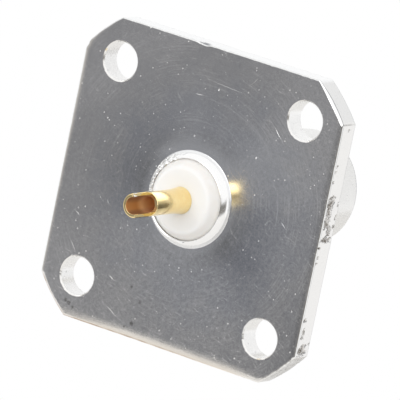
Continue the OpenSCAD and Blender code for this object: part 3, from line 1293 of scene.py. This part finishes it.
grit = add_object("face_grit", body.data.copy())
grow(grit, grit_tree(), density=4.4e5, smallest=0.012 * MM, largest=0.042 * MM, seed=11, material=plating)
finish_mesh(grit, angle=60)

# %% [markdown]
# ## Shared effects as shader groups
# The plating, the gilding and the plastic all show lathe marks and specks, only not equally strong, and the
# plating has hair scratches too. Each effect is a group with named inputs, built once, that gives out a mask
# or a height. All of them read places in millimetres, so a mark keeps its size on every piece.

# %% Helpers for groups
PLACE = ("Vector", (0, 0, 0))


def new_group(name, inputs, output):
    """An empty shader group, and its named inputs."""
    group = bpy.data.node_groups.new(name, "ShaderNodeTree")
    for label, (kind, value) in inputs.items():
        socket = group.interface.new_socket(label, in_out="INPUT", socket_type="NodeSocket" + kind)
        socket.default_value = value
    group.interface.new_socket(output, in_out="OUTPUT", socket_type="NodeSocketFloat")
    return group, given_to(group)


def close_group(group, value):
    put(group, "NodeGroupOutput", {0: value})
    print(f"group {group.name!r}: {len(group.nodes)} nodes")
    return group


def ramp(value, start, end, low=0.0, high=1.0):
    """A smooth step of a value, from low at start to high at end."""
    return put(value.tree, "ShaderNodeMapRange", {
        "Value": value, "From Min": start, "From Max": end, "To Min": low, "To Max": high},
        interpolation_type="SMOOTHSTEP")


def stretched(place, scale):
    """The place, scaled along each axis."""
    return put(place.tree, "ShaderNodeVectorMath", {0: place, 1: scale}, operation="MULTIPLY")


def grain_noise(place, scale, detail=3.0, rough=0.55):
    return put(place.tree, "ShaderNodeTexNoise", {
        "Vector": place, "Scale": scale, "Detail": detail, "Roughness": rough})


def length_of(a, b):
    """How long a step of a and b is."""
    return (a * a + b * b).calc("SQRT")


print("effects read places in mm")

# %% Lathe marks
def lathe_marks_group():
    """Fine rings round the axis, on faces and on round walls alike."""
    group, given = new_group("lathe_marks", {"Place": PLACE, "Marks per mm": ("Float", 6.0)}, "Height")
    x, y, z = split(given["Place"])
    drift = (x + z) * 0.02
    rings = vector_of(group, length_of(x, z), y, drift)
    return close_group(group, grain_noise(rings, given["Marks per mm"], detail=2.0))


lathe_marks = lathe_marks_group()

# %% Hair scratches
def hair_scratches_group():
    """Thin lines that run mostly one way across the face, and sway a little."""
    group, given = new_group("hair_scratches", {
        "Place": PLACE, "Turn": ("Float", 0.0), "Run": ("Float", 0.5), "Fineness": ("Float", 9.0),
        "Rarity": ("Float", 0.62)}, "Line")
    sway = grain_noise(given["Place"], scale=0.25, detail=1.0).other("Color")
    sway_reach = (2.5, 2.5, 2.5)
    swayed = put(group, "ShaderNodeVectorMath", {0: sway, 1: sway_reach, 2: given["Place"]},
                 operation="MULTIPLY_ADD")
    turned = put(group, "ShaderNodeVectorRotate", {"Vector": swayed, "Angle": given["Turn"]},
                 rotation_type="Y_AXIS")
    scale = vector_of(group, given["Run"], given["Run"], given["Fineness"])
    lines = grain_noise(stretched(turned, scale), scale=1.0, detail=2.0, rough=0.6)
    softness = 0.1
    return close_group(group, ramp(lines, given["Rarity"], given["Rarity"] + softness))


hair_scratches = hair_scratches_group()

# %% Specks
def specks_group():
    """Small round marks, each with its own size."""
    group, given = new_group("specks", {
        "Place": PLACE, "Per mm": ("Float", 1.2), "Size": ("Float", 0.16), "Rarity": ("Float", 4.0)}, "Speck")
    distance = put(group, "ShaderNodeTexVoronoi", {"Vector": given["Place"], "Scale": given["Per mm"]})
    chance = put(group, "ShaderNodeSeparateColor", {"Color": distance.other("Color")})
    own_size = chance.calc("POWER", given["Rarity"]) * given["Size"]
    full_share = 0.4
    return close_group(group, ramp(distance, own_size, own_size * full_share))


specks = specks_group()

# %% [markdown]
# ## Finish: bright plating
# Silvery plating over brass, as smooth as a dull mirror. What it looks like is mostly what it mirrors, so its
# colour stays pale and even, and the life comes from small things: cloudy roughness, hair scratches, lathe
# marks, specks, and the torn, stained and worn places whose masks were kept on the mesh.

# %% Helpers for finishes
def place_in_mm(tree):
    """Object coordinates in millimetres."""
    coordinates = put(tree, "ShaderNodeTexCoord").other("Object")
    return put(tree, "ShaderNodeMapping", {"Vector": coordinates, "Scale": (1 / MM, 1 / MM, 1 / MM)})


def effect(group, place, **values):
    """One shared effect, placed in a finish with its own values, which go by the names of its inputs."""
    named = {name.replace("_", " ").capitalize(): value for name, value in values.items()}
    return put(place.tree, "ShaderNodeGroup", {"Place": place, **named}, node_tree=group)


def mix_colour(share, *colours):
    """A mix of two colours, each a wire or a plain red, green and blue."""
    first, second = (c if isinstance(c, Wire) else (*c, 1) for c in colours)
    return put(share.tree, "ShaderNodeMix", {"Factor": share, "A": first, "B": second}, data_type="RGBA")


def layered(colour, *layers):
    """A colour with others laid over it, each by its mask."""
    for mask, over in layers:
        colour = mix_colour(mask, colour, over)
    return colour


def add_all(*parts, start=0.0):
    """The sum of wires, each with its weight, and of a start."""
    total = start
    for wire, weight in parts:
        total = wire.calc("MULTIPLY_ADD", weight, total)
    return total


def kept_mark(tree, name):
    """A mask that was kept on the mesh."""
    return put(tree, "ShaderNodeAttribute", attribute_name=name).other("Fac")


def bump(height, depth):
    """A bump that is a given depth in mm."""
    return put(height.tree, "ShaderNodeBump", {"Height": height, "Strength": 1.0, "Distance": depth * MM})


def dress(finish, values):
    """Fills the inputs of the finish's own shader."""
    tree = finish.node_tree
    for name, value in values.items():
        fill(tree.nodes["Principled BSDF"].inputs[name], value)
    print(f"finish {finish.name!r}: {len(tree.nodes)} nodes")


print("a finish is mixed from wires and dressed at the end")

# %% Gather the plating's marks
# Three sets of hair scratches, each with its own direction
HAIRS = (
    {"turn": -0.35, "run": 0.8, "fineness": 16.0, "rarity": 0.62},
    {"turn": 0.9, "run": 0.7, "fineness": 14.0, "rarity": 0.64},
    {"turn": 2.2, "run": 1.2, "fineness": 18.0, "rarity": 0.64},
)
tree = plating.node_tree
place = place_in_mm(tree)
x, y, z = split(place)
out = length_of(x, z)
bearing = z.calc("ARCTAN2", x)
cloud = grain_noise(place, scale=0.35, detail=4.0)
fine_cloud = grain_noise(place, scale=3.0, detail=4.0)
grain = grain_noise(place, scale=7.0, rough=0.7)
hair_a, hair_b, hair_c = (effect(hair_scratches, place, **hair) for hair in HAIRS)
rings = effect(lathe_marks, place, marks_per_mm=7.0)
speck = effect(specks, place, per_mm=1.3, size=0.16, rarity=12.0)
grit_speck = effect(specks, place, per_mm=3.2, size=0.26, rarity=7.0)
torn, worn, stain, bored, edge = (kept_mark(tree, name) for name in marks)
print("marks kept on the mesh:", *marks)

# %% [markdown]
# ## Plating: the film on the rear face, and its painted reflection
# The face is the dullest part: a grey film lies on it, worn through along the scratches and the turning
# marks. Its streaks grow stronger towards the lower right. Laid into the film is a painted reflection of the
# turned face: a fan with two dull wings and two bright ones round the collar, and bright and dull rays.
# Close to the collar, and most above it, the face is lighter.

# %% Lay the film
# Angle and half angle in degrees round the collar, and how much film, of the painted reflection rays on the
# face; more film is painted shade, less is painted highlight
REFLECTION_RAYS = {
    "bright, to the right": (30, 24, -0.38),
    "dull, above": (75, 24, 0.27),
    "dull, to the left": (184, 34, 0.21),
    "bright, below": (294, 34, -0.19),
    "dull, low on the right": (326, 20, 0.15),
}
film_mean = 0.73
film_base = 0.42
film_cover = 0.7
wing_turn = math.radians(45)
# Radii in mm where each begins and where it is full
fan_reach, ray_fade, lighter_above, lighter_round = (11.0, 5.0), (16.0, 5.0), (5.5, 4.2), (4.9, 4.1)
bare_warm, bare_cool = (0.94, 0.925, 0.905), (0.925, 0.93, 0.94)
film_warm, film_cool = (0.386, 0.384, 0.384), (0.369, 0.381, 0.426)

on_face = ramp(y, 0.06, 0.015) * ramp(y, -0.06, -0.012)
# The middle of the face is a cooler grey than its borders
off_middle = length_of((x - 2.0) * (1 / 12), z * (1 / 11))
cool = ramp(cloud * 0.8 + off_middle, 1.55, 0.9)
arcs = ramp(rings, 0.52, 0.62) * ramp(z, -3.0, 4.0, 0.55, 1.0) * ramp(cloud, 0.40, 0.58)
streaks = add_all((grain, -0.75), (fine_cloud, -0.55), (hair_a, -0.24), (hair_b, -0.20), (hair_c, -0.18),
                  (arcs, -0.26), (grit_speck, -0.4), start=film_mean)
film_and_sheen = streaks * ramp(x - z, -12.0, 8.0, 0.8, 1.65)
# The fan and the rays are a painted reflection of the turned face: more film where it should look dull, less
# where it should look bright
sheen_wings = (bearing * 2.0 + wing_turn).calc("COSINE")
painted_fan_sheen = ramp(out, *fan_reach) * (sheen_wings * 0.31 + 0.20)
# The film is thinner towards the top right, the bottom left and in the top left corner
top_left = ramp(z - x, 13.0, 19.0)
film_and_sheen += add_all((painted_fan_sheen, 1.0), (cloud, -0.20), (x * z, -0.002), (top_left, -0.30), start=film_base)
ray_reach = ramp(out, *ray_fade, 0.2, 1.0)
for angle, half_angle, weight in REFLECTION_RAYS.values():
    off_ray = (bearing - math.radians(angle)).calc("COSINE")
    film_and_sheen += ramp(off_ray, math.cos(math.radians(half_angle)), 1.0) * ray_reach * weight
lighter_by_collar = ramp(out, *lighter_above) * ramp(z, 1.5, 3.5, 0.0, 0.9)
lighter_by_collar = lighter_by_collar.calc("MAXIMUM", ramp(out, *lighter_round, 0.0, 0.5))
film_and_sheen = film_and_sheen.calc("MAXIMUM", 0.0) * (1.0 - lighter_by_collar) * on_face
film_colour = mix_colour(cool * ramp(out, 4.4, 7.0), film_warm, film_cool)
colour = mix_colour(film_and_sheen * film_cover, mix_colour(cool, bare_warm, bare_cool), film_colour)
print("rays in the film:", len(REFLECTION_RAYS))

# %% [markdown]
# ## Plating: sides, edges and barrel
# The sawn sides are duller than the bare face, and the corners duller than the sides, but the edges are
# bright. The bottom edge was rolled over, and its warm colour is a painted reflection of the warm table below
# it. Behind the flange the barrel is a painted shade greyer, for the shadowed table that it mirrors.

# %% Shade the sides
# Places in mm where each begins and where it is full
side_start, side_end = (0.06, 0.12), (flange_t + 0.05, flange_t - 0.05)
barrel_start = (flange_t + 0.05, flange_t + 0.3)
corner_half, corner_start = (2.95, 2.4), (14.8, 15.3)
top_start, bottom_start, bottom_depth = (10.5, 12.6), (-11.7, -12.6), (0.4, 0.15)
side_grey, top_grey, corner_grey = (0.87, 0.86, 0.845), (0.95, 0.955, 0.96), (0.80, 0.80, 0.795)
# The bottom roll's warm colours are a painted reflection of the table, and the barrel's grey is painted shade
bore_white, edge_white, edge_table_reflection = (0.975, 0.97, 0.96), (0.985, 0.985, 0.98), (0.93, 0.86, 0.77)
roll_table_reflection, barrel_painted_shade = (0.80, 0.74, 0.66), (0.88, 0.875, 0.86)
roll_cover = 0.7

on_side = ramp(y, *side_start) * ramp(y, *side_end)
lopsided = (x.calc("ABSOLUTE") - z.calc("ABSOLUTE")).calc("ABSOLUTE")
on_corner = ramp(lopsided, *corner_half) * ramp(out, *corner_start)
sawn = layered(side_grey, (ramp(z, *top_start), top_grey), (on_corner, corner_grey), (bored, bore_white))
bottom_roll = ramp(z, *bottom_start) * ramp(y, *bottom_depth)
bottom_roll *= ramp(x, -10.0, -6.0, 0.5, 1.0) * ramp(x, 9.7, 6.5, 0.2, 1.0)
bright = edge.calc("MAXIMUM", ramp(y, -0.03, -0.10))
bright_colour = mix_colour(bottom_roll, edge_white, edge_table_reflection)
on_barrel = ramp(y, *barrel_start)
colour = layered(colour, (on_side, sawn), (bottom_roll * roll_cover, roll_table_reflection), (bright, bright_colour),
                 (on_barrel, barrel_painted_shade))
print("the barrel's grey begins at y", barrel_start[0])

# %% [markdown]
# ## Plating: damage, roughness and relief
# Torn metal is dark in shreds, a stain is a dark smudge, and where the plating is worn through the brass
# shows. The stain mark also carries a painted shade: a thin dark line where the right side meets the top
# right corner. Most of the marks also roughen the metal. A shallow bump gives the scratches and specks their
# relief, less of it on the barrel, which was turned finer than the flange.

# %% Dress the plating
torn_dark, stain_dark, bare_brass = (0.24, 0.21, 0.175), (0.20, 0.195, 0.18), (0.50, 0.36, 0.26)
worn_cover = 0.85
least_rough = 0.05
relief = 0.004

shreds = ramp(fine_cloud, 0.42, 0.56) * ramp(grain, 0.36, 0.56, 0.4, 1.0)
broken = torn * (shreds * 0.80 + 0.16)
smudge_and_corner_shade = stain * ramp(fine_cloud, 0.38, 0.58, 0.45, 0.85)
colour = layered(colour, (broken, torn_dark), (smudge_and_corner_shade, stain_dark), (worn * worn_cover, bare_brass))
rough = add_all((cloud, 0.10), (fine_cloud, 0.08), (hair_a, 0.10), (hair_b, 0.06), (speck, 0.40),
                (bottom_roll, 0.30), (grit_speck, 0.30), (torn, 0.30), (stain, 0.05), (bored, 0.12),
                (on_barrel, 0.12), start=least_rough)
height = add_all((rings, 0.10), (fine_cloud, 0.10), (hair_a, 0.15), (hair_b, 0.12), (speck, 2.0),
                 (grit_speck, 1.2), (grain, 0.15), (torn * grain, 6.0))
height *= ramp(y, *barrel_start, 1.0, 0.3)
dress(plating, {"Base Color": colour, "Roughness": rough, "Normal": bump(height, relief), "Metallic": 1.0})

# %% [markdown]
# ## Finish: gilding
# The contact is brass under a thin layer of gold. Outside it is bright. Inside the cup the drill left it
# rough, and light bounces from gold to gold there and comes out brown. The bore's browns are painted light:
# painted shade along the edges of the open trough, painted light down its middle, and painted light that
# grows inwards where the real light falls off. The burrs on the cup's edge are painted white as a glint.

# %% Mix the gilding
pale_gold, deep_gold, gold_speck = (0.98, 0.80, 0.43), (0.95, 0.74, 0.36), (0.55, 0.38, 0.20)
# Painted light in the bore: shaded browns for its edges, lit browns for its middle, each lighter inwards
shaded_brown, shaded_inner = (0.285, 0.125, 0.050), (0.80, 0.47, 0.25)
lit_brown, lit_inner = (0.53, 0.226, 0.062), (1.0, 0.66, 0.30)
# The burrs' white is a painted glint
burr_glint_white = (1.0, 0.98, 0.94)
bore_wall = (cup_bore_r + 0.01, cup_bore_r + 0.04)
brown_end, pale_end = -6.95, -5.75

place = place_in_mm(gold.node_tree)
x, y, z = split(place)
radius = length_of(x, z)
in_bore = ramp(radius, bore_wall[1], bore_wall[0])
cloud = grain_noise(place, scale=1.6, detail=4.0)
rings = effect(lathe_marks, place, marks_per_mm=9.0)
speck = effect(specks, place, per_mm=2.2, size=0.12)
burr = ramp(kept_mark(gold.node_tree, "burr"), 0.02, 0.25)
off_middle = add_all((x, math.sin(cup_cut_angle)), (z, -math.cos(cup_cut_angle)))
streaks = grain_noise(stretched(place, (6.0, 0.5, 6.0)), scale=1.0, detail=2.0)
lit = streaks * 0.5 + ramp(off_middle.calc("ABSOLUTE"), 0.62, 0.1)
# Painted light that grows inwards, where the real light in the closed bore falls off
inwards = ramp(y, brown_end, pale_end)
shaded_bore = mix_colour(inwards, shaded_brown, shaded_inner)
lit_bore = mix_colour(inwards, lit_brown, lit_inner)
bore_colour = mix_colour(ramp(lit, 0.2, 1.3), shaded_bore, lit_bore)
dress(gold, {
    "Base Color": layered(deep_gold, (ramp(cloud, 0.35, 0.7), pale_gold), (in_bore, bore_colour),
                          (speck * 0.5, gold_speck), (burr, burr_glint_white)),
    "Roughness": add_all((cloud, 0.10), (in_bore, 0.32), (speck, 0.25), (burr, 0.30), start=0.08),
    "Normal": bump(add_all((rings, 0.5), (cloud, 0.4)), 0.003),
    "Metallic": ramp(radius, *bore_wall, 0.1, 1.0) * (1.0 - burr),
})

# %% [markdown]
# ## Finish: white plastic
# A fluoroplastic, waxy and a little translucent, with the faint rings of the tool that cut it. The bevel
# is darker and warmer than the flat: partly a trace of handling dirt, partly painted shade, where it gets
# less light than the flat, with a warm cast of light from the table.

# %% Mix the plastic
clean_white, dull_white = (0.95, 0.95, 0.945), (0.93, 0.93, 0.925)
bevel_dirt_and_shade_white, plastic_speck = (0.91, 0.885, 0.85), (0.70, 0.66, 0.60)

place = place_in_mm(plastic.node_tree)
x, y, z = split(place)
cloud = grain_noise(place, scale=1.2, detail=4.0)
rings = effect(lathe_marks, place, marks_per_mm=5.0)
speck = effect(specks, place, per_mm=2.0, size=0.09)
on_bevel = ramp(length_of(x, z), 2.55, 3.0)
# The bevel's darker, warmer colour is partly handling dirt and partly painted shade with a warm cast
bevel_dirt_and_shade = on_bevel * ramp(cloud, 0.2, 0.6, 0.6, 1.0)
dress(plastic, {
    "Base Color": layered(clean_white, (cloud, dull_white), (bevel_dirt_and_shade, bevel_dirt_and_shade_white),
                          (speck * 0.4, plastic_speck)),
    "Roughness": add_all((cloud, 0.12), (rings, 0.10), start=0.42),
    "Normal": bump(add_all((rings, 0.6), (cloud, 0.4)), 0.006),
    "IOR": 1.35,
    "Subsurface Weight": 0.2,
    "Subsurface Radius": (1.0, 0.9, 0.8),
    "Subsurface Scale": 0.4 * MM,
})

# %% [markdown]
# ## Hand the pieces to the frame
# Each piece stands for the CAD node that it was laid over, which is hidden, and rides on the one body that
# the part has. The grit only rides along, because no CAD node has it.

# %% Tie the pieces to the CAD
for piece, node, slot in (
    (body, "body", "plated_metal"),
    (rear_insulator, "rear_insulator", "insulator"),
    (front_insulator, "front_insulator", "insulator"),
    (contact, "centre_contact", "contact"),
):
    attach(piece, "root")
    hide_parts(node)
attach(grit, "root")

# %% [markdown]
# ## Light
# Plating shows what stands round it, so it needs a room to mirror. This one is a plain studio: a white
# table, on which the part lies tilted, a wide white light above, a grey room in front with a white screen on
# the right, and a white backdrop behind. The world paints it as smooth steps along a few directions.

# %% Paint the front of the room
world = bpy.data.worlds.new("studio")
scene.world = world
world.use_nodes = True
tree = world.node_tree
towards = put(tree, "ShaderNodeTexCoord").other("Generated")
table_tilt = math.radians(25.9)
table_white, table_warm = (1.0, 1.0, 1.0), (0.93, 0.89, 0.83)
left_grey, middle_grey, right_grey = (0.275, 0.279, 0.293), (0.17, 0.17, 0.175), (0.20, 0.19, 0.175)
far_left_grey = (0.55, 0.53, 0.50)


def share_along(*direction):
    """How far the view goes along a direction, from -1 to 1."""
    product = put(tree, "ShaderNodeVectorMath", {0: towards, 1: direction}, operation="DOT_PRODUCT")
    return product.other("Value")


up = share_along(0, -math.sin(table_tilt), math.cos(table_tilt))
front = share_along(0, -1, 0)
right = share_along(1, 0, 0)
# The room fills the front, from the table's edge up to the light, which leans over on the right
in_front = ramp(front, 0.0, 0.35)
room = in_front * ramp(up, -0.06, 0.08) * ramp(right * -0.4 + up, 0.80, 0.55)
# On the right hangs a white screen with a leaning edge. The room shows again under it, up to its end
screen = ramp(up, 0.28, 0.38) * ramp(up * 0.5 + right, 0.72, 0.86)
room *= (1.0 - screen) * ramp(right, 0.98, 0.88)
room_grey = layered(left_grey, (ramp(right, -0.48, -0.22), middle_grey), (ramp(right, 0.0, 0.35), right_grey),
                    (ramp(right, -0.60, -0.95), far_left_grey))
colour = layered(table_white, (in_front * ramp(up, 0.0, -0.2), table_warm), (room, room_grey))
print("room nodes in front:", len(tree.nodes))

# %% Hang the backdrop behind
backdrop_grey, spot_grey = (0.34, 0.345, 0.36), (0.42, 0.425, 0.44)
# The backdrop is white, with the room's grey round it and on the far left
round_backdrop = ramp(front, -0.20, -0.36) * ramp(front, -0.79, -0.70)
far_left = ramp(right, -0.72, -0.88) * ramp(front, 0.10, -0.15)
above_floor = ramp(share_along(0, 0, 1), -0.35, -0.10)
behind = round_backdrop.calc("MAXIMUM", far_left) * above_floor
# A grey spot in its middle gives the mating side something darker to mirror
spot = ramp(front, -0.925, -0.985)
colour = layered(colour, (behind, backdrop_grey), (spot, spot_grey))
fill(tree.nodes["Background"].inputs["Color"], colour)
fill(tree.nodes["Background"].inputs["Strength"], 1.0)
print("room nodes:", len(tree.nodes))

# %% Hang the light
light_data = bpy.data.lights.new("softbox", "AREA")
light_data.shape = "DISK"
light_data.size = 0.7
light_data.energy = 1.95
light = add_object("softbox", light_data)
light.location = (0, -0.68, 0.25)
light.rotation_euler = light.location.to_track_quat("Z", "Y").to_euler()
print("softbox:", light_data.energy, "W")

# %% [markdown]
# ## Floor
# A plain pale table top, far enough below to stay out of the flange's mirror.

# %% Lay the floor
FLOOR_SIDES = 96
floor_drop = 0.09
floor_radius = 0.25
floor_mesh = bpy.data.meshes.new("floor")
floor_ring = [(floor_radius * across, floor_radius * along, -floor_drop)
              for across, along in round_steps(FLOOR_SIDES)]
floor_mesh.from_pydata(floor_ring, [], [tuple(range(FLOOR_SIDES))])
floor = add_object("floor", floor_mesh)
pale = bpy.data.materials.new("pale_floor")
pale.use_nodes = True
dress(pale, {"Base Color": (0.95, 0.935, 0.91, 1), "Roughness": 0.9})
floor_mesh.materials.append(pale)
print("floor", floor_drop, "m below the axis")
